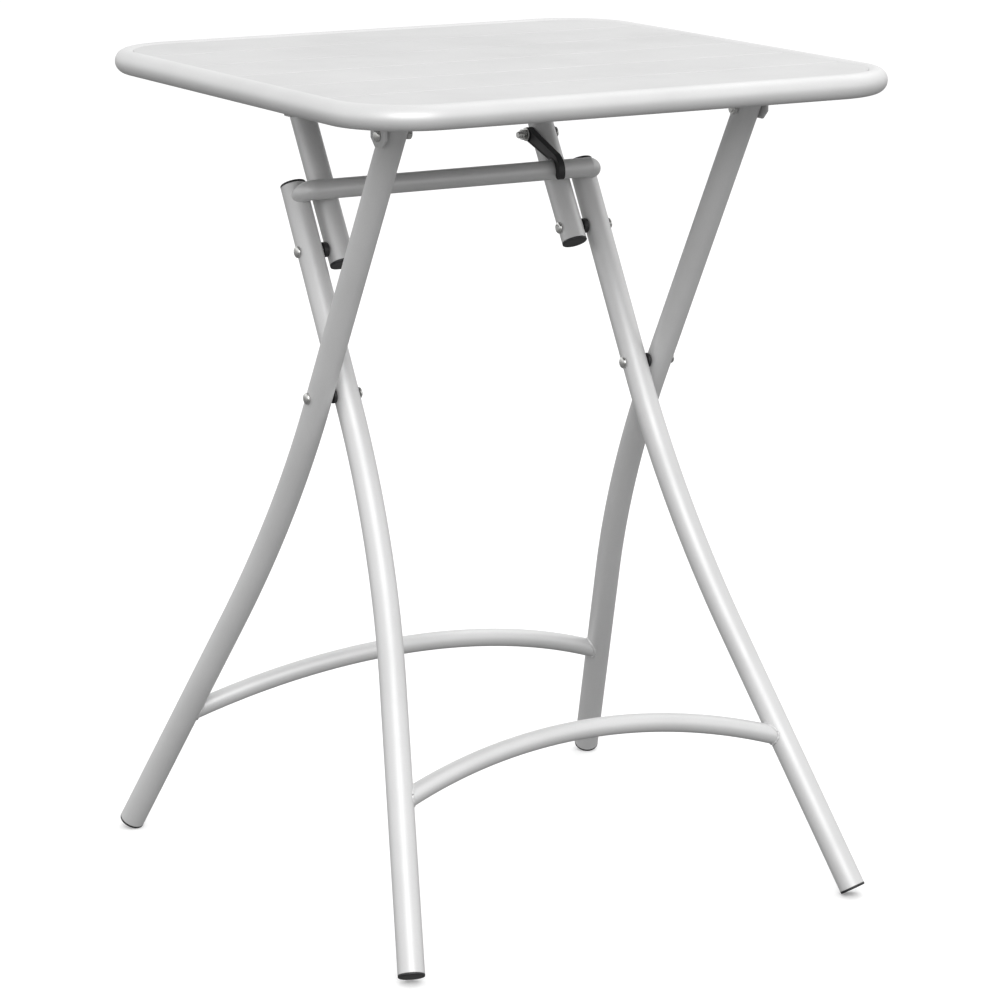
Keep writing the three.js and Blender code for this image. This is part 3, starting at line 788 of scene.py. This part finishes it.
def make_spacer(node, body, slot="black_plastic"):
    """A ring along X with rounded rims."""
    low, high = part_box(node)
    radius = (high.z - low.z) / 2
    hole = PIN_RADIUS + BORE_CLEARANCE
    soft = min(SPACER_EDGE, (high.x - low.x) * 0.3)
    profile = [(hole, low.x), (radius - soft, low.x)]
    profile += round_edge(radius, low.x, soft, -1)[::-1][1:]
    profile += round_edge(radius, high.x, soft, 1)
    profile += [(hole, high.x)]
    mesh = lathe(node + "_fine", profile, axis_place(node), ACROSS, loop=True)
    finish_piece(node + "_fine", mesh, body, slot, [node])


def make_hinges():
    for word, side in SIDES:
        make_bracket(f"front_hinge_bracket_{word}", "tabletop", side, FRONT_BRACKET_CHAMFER)
        make_bracket(f"rear_hinge_bracket_{word}", "tabletop", side, REAR_BRACKET_CHAMFER)
        make_pin(f"front_hinge_pin_{word}", "tabletop", side, HINGE_THREAD)
        make_pin(f"rear_hinge_rivet_{word}", "tabletop", side)
        make_hex_nut(f"front_hinge_nut_{word}", "tabletop")


# ---- legs, arches and caps -------------------------------------------------------------------


def out_at(up):
    """How far a leg has moved outwards at a height below the crossing."""
    if up >= BEND_START:
        return 0.0
    if up >= BEND_END:
        return BEND_RADIUS - math.sqrt(BEND_RADIUS ** 2 - (BEND_START - up) ** 2)
    return BEND_RADIUS * (1 - math.cos(SPLAY)) + (BEND_END - up) * math.tan(SPLAY)


def turn_at(up):
    """How far a leg has turned outwards at a height below the crossing."""
    if up >= BEND_START:
        return 0.0
    return math.asin((BEND_START - max(up, BEND_END)) / BEND_RADIUS)


def leg_station(plane, x, side, up):
    """A leg's place at a height in its plane, with the two directions of its round section."""
    turn = turn_at(up)
    along = plane.up * -math.cos(turn) + ACROSS * (side * math.sin(turn))
    place = plane.at(side * (x + out_at(up)), up)
    return (place, plane.forward, along.cross(plane.forward))


def leg_tube(name, plane, x, side, top, foot):
    top_steps, bend_steps, foot_steps = 3, 22, 4
    ups = [top + (BEND_START - top) * k / top_steps for k in range(top_steps)]
    ups += [BEND_START + (BEND_END - BEND_START) * k / bend_steps for k in range(bend_steps + 1)]
    ups += [BEND_END + (foot - BEND_END) * k / foot_steps for k in range(1, foot_steps + 1)]
    stations = [leg_station(plane, x, side, up) for up in ups]
    return tube(name, stations, LEG_RADIUS, LEG_WALL)


def cap_profile():
    """A leg tube's end cap. Heights are measured outwards from the tube's end and its gap."""
    plug = LEG_RADIUS - LEG_WALL - PLUG_CLEARANCE
    shoulder = CAP_LIP - CAP_EDGE
    steps = 5
    profile = [
        (0.0, -CAP_DEPTH), (plug - CAP_CHAMFER, -CAP_DEPTH), (plug, CAP_CHAMFER - CAP_DEPTH),
        (plug, -GAP), (LEG_RADIUS, -GAP), (LEG_RADIUS, shoulder),
    ]
    for i in range(1, steps + 1):
        turn = math.pi / 2 * i / steps
        profile.append((
            LEG_RADIUS - CAP_EDGE * (1 - math.cos(turn)), shoulder + CAP_EDGE * math.sin(turn),
        ))
    return profile + [(LEG_RADIUS * 0.6, CAP_LIP), (0.0, CAP_LIP)]


def make_cap(node, body, place, axis):
    mesh = lathe(node + "_fine", cap_profile(), place, axis, count=ROUND)
    finish_piece(node + "_fine", mesh, body, "black_plastic", [node])


def foot_up(plane):
    """The height in the plane at which the foot's end face is centred: its edge is at ground."""
    steep = math.cos(SPLAY) * plane.up.z
    return (LEG_RADIUS * math.sqrt(1 - steep * steep) - plane.origin.z) / plane.up.z


def weld_ring(name, body, bar_place, bar_axis, first, second, bar_radius, leg_place, leg_axis):
    """A fillet bead along the line where a bar meets a leg."""
    leg_axis = leg_axis.normalized()
    count, ripple_steps = 72, 6
    path = []
    for i in range(count):
        turn = 2 * math.pi * i / count
        start = bar_place + first * (bar_radius * math.cos(turn)) \
            + second * (bar_radius * math.sin(turn))
        gap = start - leg_place
        flat_gap = gap - leg_axis * gap.dot(leg_axis)
        flat_way = bar_axis - leg_axis * bar_axis.dot(leg_axis)
        a = flat_way.dot(flat_way)
        b = 2 * flat_gap.dot(flat_way)
        c = flat_gap.dot(flat_gap) - LEG_RADIUS ** 2
        root = math.sqrt(max(b * b - 4 * a * c, 0))
        path.append(start + bar_axis * ((-b + root) / (2 * a)))
    rings = []
    for i in range(count):
        ahead, behind = path[(i + 1) % count], path[i - 1]
        along = (ahead - behind).normalized()
        side = along.cross(leg_axis).normalized()
        other = along.cross(side).normalized()
        bead = WELD_BEAD * (1 + WELD_RIPPLE * math.sin(2 * math.pi * i / ripple_steps))
        rings.append(circle(path[i], side, other, bead, 12))
    mesh = loft(name, rings, loop=True)
    finish_piece(name, mesh, body, "frame_paint", [], 60)


def make_arch(node, body, plane, leg_x, arch):
    """The arched tube between two legs, with a weld bead at each end."""
    name = node + "_fine"
    at, rise = arch
    half = leg_x + out_at(at)
    radius = (half * half + rise * rise) / (2 * rise)
    spread = math.asin(half / radius)
    middle = at + rise - radius
    short = ARCH_END_SHORT / radius
    steps = 40
    stations = []
    for i in range(steps + 1):
        turn = (spread - short) * (2 * i / steps - 1)
        out = plane.up * math.cos(turn) + ACROSS * math.sin(turn)
        place = plane.at(0, middle) + out * radius
        stations.append((place, out, plane.forward))
    mesh = tube(name, stations, BAR_RADIUS, BAR_WALL, ROUND_BAR)
    finish_piece(name, mesh, body, "frame_paint", [node])
    for word, side in SIDES:
        turn = side * (spread - ARCH_WELD_BACK / radius)
        out = plane.up * math.cos(turn) + ACROSS * math.sin(turn)
        inward = (plane.up * math.sin(turn) - ACROSS * math.cos(turn)) * side
        place = plane.at(0, middle) + out * radius
        leg = leg_station(plane, leg_x, side, at)
        leg_axis = leg[1].cross(leg[2])
        weld_ring(
            f"{name}_weld_{word}", body, place, inward, out, plane.forward,
            BAR_RADIUS, leg[0], leg_axis,
        )


def make_frames():
    rear_x = abs(centre("front_hinge_bracket_right").x)
    front_x = abs(centre("front_leg_top_cap_right").x)
    rear_top = REAR_PLANE.up_of(FRONT_HINGE) + TUBE_PAST_HINGE
    front_top = FRONT_PLANE.up_of(LINK_PIN) + FRONT_LEG_PAST_PIN - CAP_LIP - GAP
    frames = (
        ("rear", "rear_frame", REAR_PLANE, rear_x, rear_top, REAR_ARCH),
        ("front", "front_frame", FRONT_PLANE, front_x, front_top, FRONT_ARCH),
    )
    for prefix, body, plane, x, top, arch in frames:
        foot = foot_up(plane) + (CAP_LIP + GAP) * math.cos(SPLAY)
        for word, side in SIDES:
            node = f"{prefix}_leg_{word}"
            mesh = leg_tube(node + "_fine", plane, x, side, top, foot)
            finish_piece(node + "_fine", mesh, body, "frame_paint", [node])
            end = leg_station(plane, x, side, foot)
            axis = plane.up * -math.cos(SPLAY) + ACROSS * (side * math.sin(SPLAY))
            make_cap(f"{prefix}_foot_cap_{word}", body, end[0] + axis * GAP, axis)
            if prefix == "front":
                make_cap(f"front_leg_top_cap_{word}", body, plane.at(side * x, top + GAP), plane.up)
        make_arch(f"{prefix}_arched_bar", body, plane, x, arch)


# ---- crossbar, crossing and link pins, links -------------------------------------------------


def make_crossbar():
    low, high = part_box("locking_crossbar")
    place = (low + high) / 2
    tube_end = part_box("crossbar_end_plug_right")[1].x - CROSSBAR_END
    up, forward = FRONT_PLANE.up, FRONT_PLANE.forward
    stations = []
    half_steps = 4
    for k in range(-half_steps, half_steps + 1):
        stations.append((Vector((tube_end * k / half_steps, place.y, place.z)), forward, up))
    mesh = tube("locking_crossbar_fine", stations, CROSSBAR_RADIUS, BAR_WALL, ROUND_BAR)
    finish_piece("locking_crossbar_fine", mesh, "front_frame", "frame_paint", ["locking_crossbar"])
    for word, side in SIDES:
        node = f"crossbar_end_plug_{word}"
        end = Vector((side * tube_end, place.y, place.z))
        mesh = lathe(node + "_fine", closed_end_profile(), end, ACROSS * side, count=ROUND)
        finish_piece(node + "_fine", mesh, "front_frame", "frame_paint", [node])
        crossbar_weld(word, side, place)


def closed_end_profile():
    """The closed end of the crossbar: a plug in the tube and a flat face with a round edge."""
    plug = CROSSBAR_RADIUS - BAR_WALL - PLUG_CLEARANCE
    depth, chamfer, edge = CROSSBAR_PLUG_DEPTH, CROSSBAR_PLUG_CHAMFER, CROSSBAR_END_EDGE
    seam, flat = 0.02 * MM, 0.01 * MM
    steps = 10
    profile = [(0.0, -depth), (plug - chamfer, -depth), (plug, chamfer - depth), (plug, seam)]
    for i in range(steps + 1):
        turn = math.pi / 2 * i / steps
        profile.append((
            CROSSBAR_RADIUS - edge * (1 - math.cos(turn)),
            CROSSBAR_END - edge * (1 - math.sin(turn)) - flat,
        ))
    profile.append((0.0, CROSSBAR_END))
    return profile


def crossbar_weld(word, side, place):
    """The end of the crossbar turns back in a short elbow and is welded into the leg's front."""
    start = abs(centre("front_leg_top_cap_right").x) - ELBOW_INSET
    up_here = FRONT_PLANE.up_of(place)
    reach = LEG_RADIUS + CROSSBAR_RADIUS + GAP
    lead_steps, steps, sink_steps = 2, 16, 2
    rings = []
    for k in range(-lead_steps, steps + sink_steps + 1):
        part = min(max(k / steps, 0), 1)
        turn = math.pi / 2 * part
        lead, sink = min(k, 0), max(k - steps, 0)
        x = side * (start + ELBOW_BEND * math.sin(turn) + ELBOW_LEAD * lead)
        forward = reach - ELBOW_BEND * (1 - math.cos(turn)) - ELBOW_SINK * sink
        out = ACROSS * (side * math.sin(turn)) + FRONT_PLANE.forward * math.cos(turn)
        radius = CROSSBAR_RADIUS + ELBOW_SWELL - ELBOW_TAPER * part * part + ELBOW_FADE * lead
        place_here = FRONT_PLANE.at(x, up_here, forward)
        rings.append(circle(place_here, out, FRONT_PLANE.up, radius, ROUND_BAR))
    name = f"crossbar_weld_{word}"
    finish_piece(name, loft(name, rings), "front_frame", "frame_paint", [], 60)


def make_pivots():
    for word, side in SIDES:
        make_pin(f"crossing_pin_{word}", "rear_frame", side)
        make_spacer(f"crossing_spacer_{word}", "rear_frame")
        make_domed_nut(f"crossing_nut_{word}", "front_frame", -side)
        body = f"link_{word}"
        make_pin(f"link_pin_{word}", body, side)
        make_spacer(f"link_spacer_{word}", body)
        make_domed_nut(f"link_nut_{word}", body, -side, PIN_RADIUS + BORE_CLEARANCE)


def make_links():
    link_x = abs(centre("link_end_cap_right").x)
    top = LINK_PLANE.up_of(REAR_HINGE) + TUBE_PAST_HINGE
    low = CAP_LIP + GAP - LINK_PAST_PIN
    steps = 4
    for word, side in SIDES:
        stations = []
        for k in range(steps + 1):
            up = top + (low - top) * k / steps
            stations.append((LINK_PLANE.at(side * link_x, up), LINK_PLANE.forward, ACROSS))
        name = f"link_tube_{word}"
        mesh = tube(name + "_fine", stations, LEG_RADIUS, LEG_WALL)
        finish_piece(name + "_fine", mesh, f"link_{word}", "frame_paint", [name])
        end = LINK_PLANE.at(side * link_x, low - GAP)
        make_cap(f"link_end_cap_{word}", f"link_{word}", end, -LINK_PLANE.up)


# ---- the hook --------------------------------------------------------------------------------


def hook_outline(shrink):
    """The hook's outline in (forward, up) from its pin, drawn in by a margin. Angles in degrees."""
    bar = centre("locking_crossbar") - HOOK_PIN
    at_bar = (bar.dot(LINK_PLANE.forward), bar.dot(LINK_PLANE.up))
    inner = CROSSBAR_RADIUS + HOOK_CLEARANCE + shrink
    outer = CROSSBAR_RADIUS + HOOK_CLEARANCE + HOOK_NOSE_WIDTH - shrink

    def on(middle, radius, degrees):
        turn = math.radians(degrees)
        return (middle[0] + radius * math.cos(turn), middle[1] + radius * math.sin(turn))

    def arc(middle, radius, start, end, steps):
        return [on(middle, radius, start + (end - start) * i / steps) for i in range(steps + 1)]

    outline = arc((0, 0), HOOK_BOSS_RADIUS - shrink, *HOOK_BOSS_ARC, 24)
    outline += arc(at_bar, inner, HOOK_THROAT_START, HOOK_NOSE_END, 26)
    tip = on(at_bar, (inner + outer) / 2, HOOK_NOSE_END)
    outline += arc(tip, (outer - inner) / 2, HOOK_NOSE_END + 180, HOOK_NOSE_END + 360, 12)[1:-1]
    outline += arc(at_bar, outer, HOOK_NOSE_END, HOOK_SHOULDER, 22)
    return outline


def hook_points(outline, x):
    """The outline's points in space, in the plane at one x."""
    place = Vector((x, HOOK_PIN.y, HOOK_PIN.z))
    return [place + LINK_PLANE.forward * f + LINK_PLANE.up * u for f, u in outline]


def make_hook():
    """The moulded hook, with a shallow recess inside a raised border on its inner face."""
    low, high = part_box("latch_hook")
    outline = hook_outline(0.0)
    soft = hook_outline(HOOK_EDGE)
    rings = [
        hook_points(hook_outline(HOOK_FLOOR_BORDER), low.x + HOOK_RECESS),
        hook_points(hook_outline(HOOK_BORDER), low.x + HOOK_BORDER_STEP),
        hook_points(soft, low.x),
        hook_points(outline, low.x + HOOK_EDGE),
        hook_points(outline, high.x - HOOK_EDGE),
        hook_points(soft, high.x),
    ]
    mesh = loft("latch_hook_fine", rings)
    work = bmesh.new()
    work.from_mesh(mesh)
    big = [f for f in work.faces if len(f.verts) > 4]
    bmesh.ops.triangulate(work, faces=big)
    work.to_mesh(mesh)
    work.free()
    finish_piece("latch_hook_fine", mesh, "latch_hook", "black_plastic", ["latch_hook"])
    make_spacer("hook_washer", "link_right", "zinc_steel")
    make_hex_nut("hook_nut", "link_right")
    make_pin("hook_pin", "link_right", 1, HOOK_THREAD)


# ---- build -----------------------------------------------------------------------------------

make_rim()
make_panel()
make_braces()
make_hinges()
make_frames()
make_crossbar()
make_pivots()
make_links()
make_hook()


# ---- camera, floor and light -----------------------------------------------------------------

LENS = 136.26
EYE = Vector((-1.5709, -2.7354, 1.0634))
LOOK = Vector((0.48624545, 0.84325515, -0.22909846))
FLOOR_HALF = 30
FLOOR_GLOW = 0.12

# Brightness of the studio from straight below (0) to straight above (1).
SKY = ((0.0, 0.20), (0.38, 0.23), (0.49, 0.66), (0.58, 1.16), (1.0, 0.84))


def aim(thing, place, target):
    thing.location = place
    thing.rotation_euler = (Vector(target) - Vector(place)).to_track_quat("-Z", "Y").to_euler()


def make_camera():
    camera = bpy.data.objects.new("camera", bpy.data.cameras.new("camera"))
    bpy.context.collection.objects.link(camera)
    camera.data.sensor_width = 36
    camera.data.lens = LENS
    camera.data.clip_end = 60
    aim(camera, EYE, EYE + LOOK)
    bpy.context.scene.camera = camera


def make_floor():
    mesh = bpy.data.meshes.new("floor")
    half = FLOOR_HALF
    corners = [(-half, -half, 0), (half, -half, 0), (half, half, 0), (-half, half, 0)]
    mesh.from_pydata(corners, [], [(0, 1, 2, 3)])
    floor = bpy.data.objects.new("floor", mesh)
    bpy.context.collection.objects.link(floor)
    n = Nodes("floor_pale")
    tone = n.noise(3.0, 3.0)
    n.set("Base Color", n.ramp(tone, ((0.3, (0.95, 0.95, 0.95)), (0.7, (0.97, 0.97, 0.97)))))
    n.set("Roughness", 0.9)
    n.set("Specular IOR Level", 0.1)
    n.set("Emission Color", (1, 1, 1, 1))
    n.set("Emission Strength", FLOOR_GLOW)
    mesh.materials.append(n.material)
    floor.visible_diffuse = False
    floor.visible_glossy = False


def area_light(name, place, target, size, power):
    data = bpy.data.lights.new(name, "AREA")
    data.shape = "RECTANGLE"
    data.size, data.size_y = size
    data.energy = power
    light = bpy.data.objects.new(name, data)
    bpy.context.collection.objects.link(light)
    aim(light, place, target)


def make_world():
    world = bpy.data.worlds.new("studio")
    bpy.context.scene.world = world
    world.use_nodes = True
    tree = world.node_tree
    background = tree.nodes["Background"]
    coordinates = tree.nodes.new("ShaderNodeTexCoord")
    split = tree.nodes.new("ShaderNodeSeparateXYZ")
    ramp = tree.nodes.new("ShaderNodeValToRGB")
    shift = tree.nodes.new("ShaderNodeMapRange")
    shift.inputs["From Min"].default_value = -1
    shift.inputs["From Max"].default_value = 1
    while len(ramp.color_ramp.elements) < len(SKY):
        ramp.color_ramp.elements.new(0.5)
    for element, (position, value) in zip(ramp.color_ramp.elements, SKY):
        element.position = position
        element.color = (value, value, value, 1)
    tree.links.new(coordinates.outputs["Generated"], split.inputs["Vector"])
    tree.links.new(split.outputs["Z"], shift.inputs["Value"])
    tree.links.new(shift.outputs["Result"], ramp.inputs["Fac"])
    tree.links.new(ramp.outputs["Color"], background.inputs["Color"])
    background.inputs["Strength"].default_value = 1.0


make_camera()
make_floor()
make_world()
area_light("overhead_right", (2.2, 0.5, 3.0), (0, 0, 0.6), (2.6, 2.6), 18)
area_light("front_left", (-1.3, -3.0, 2.3), (0, 0, 0.3), (2.6, 1.8), 66)

scene = bpy.context.scene
scene.view_settings.view_transform = "Standard"
scene.view_settings.look = "None"
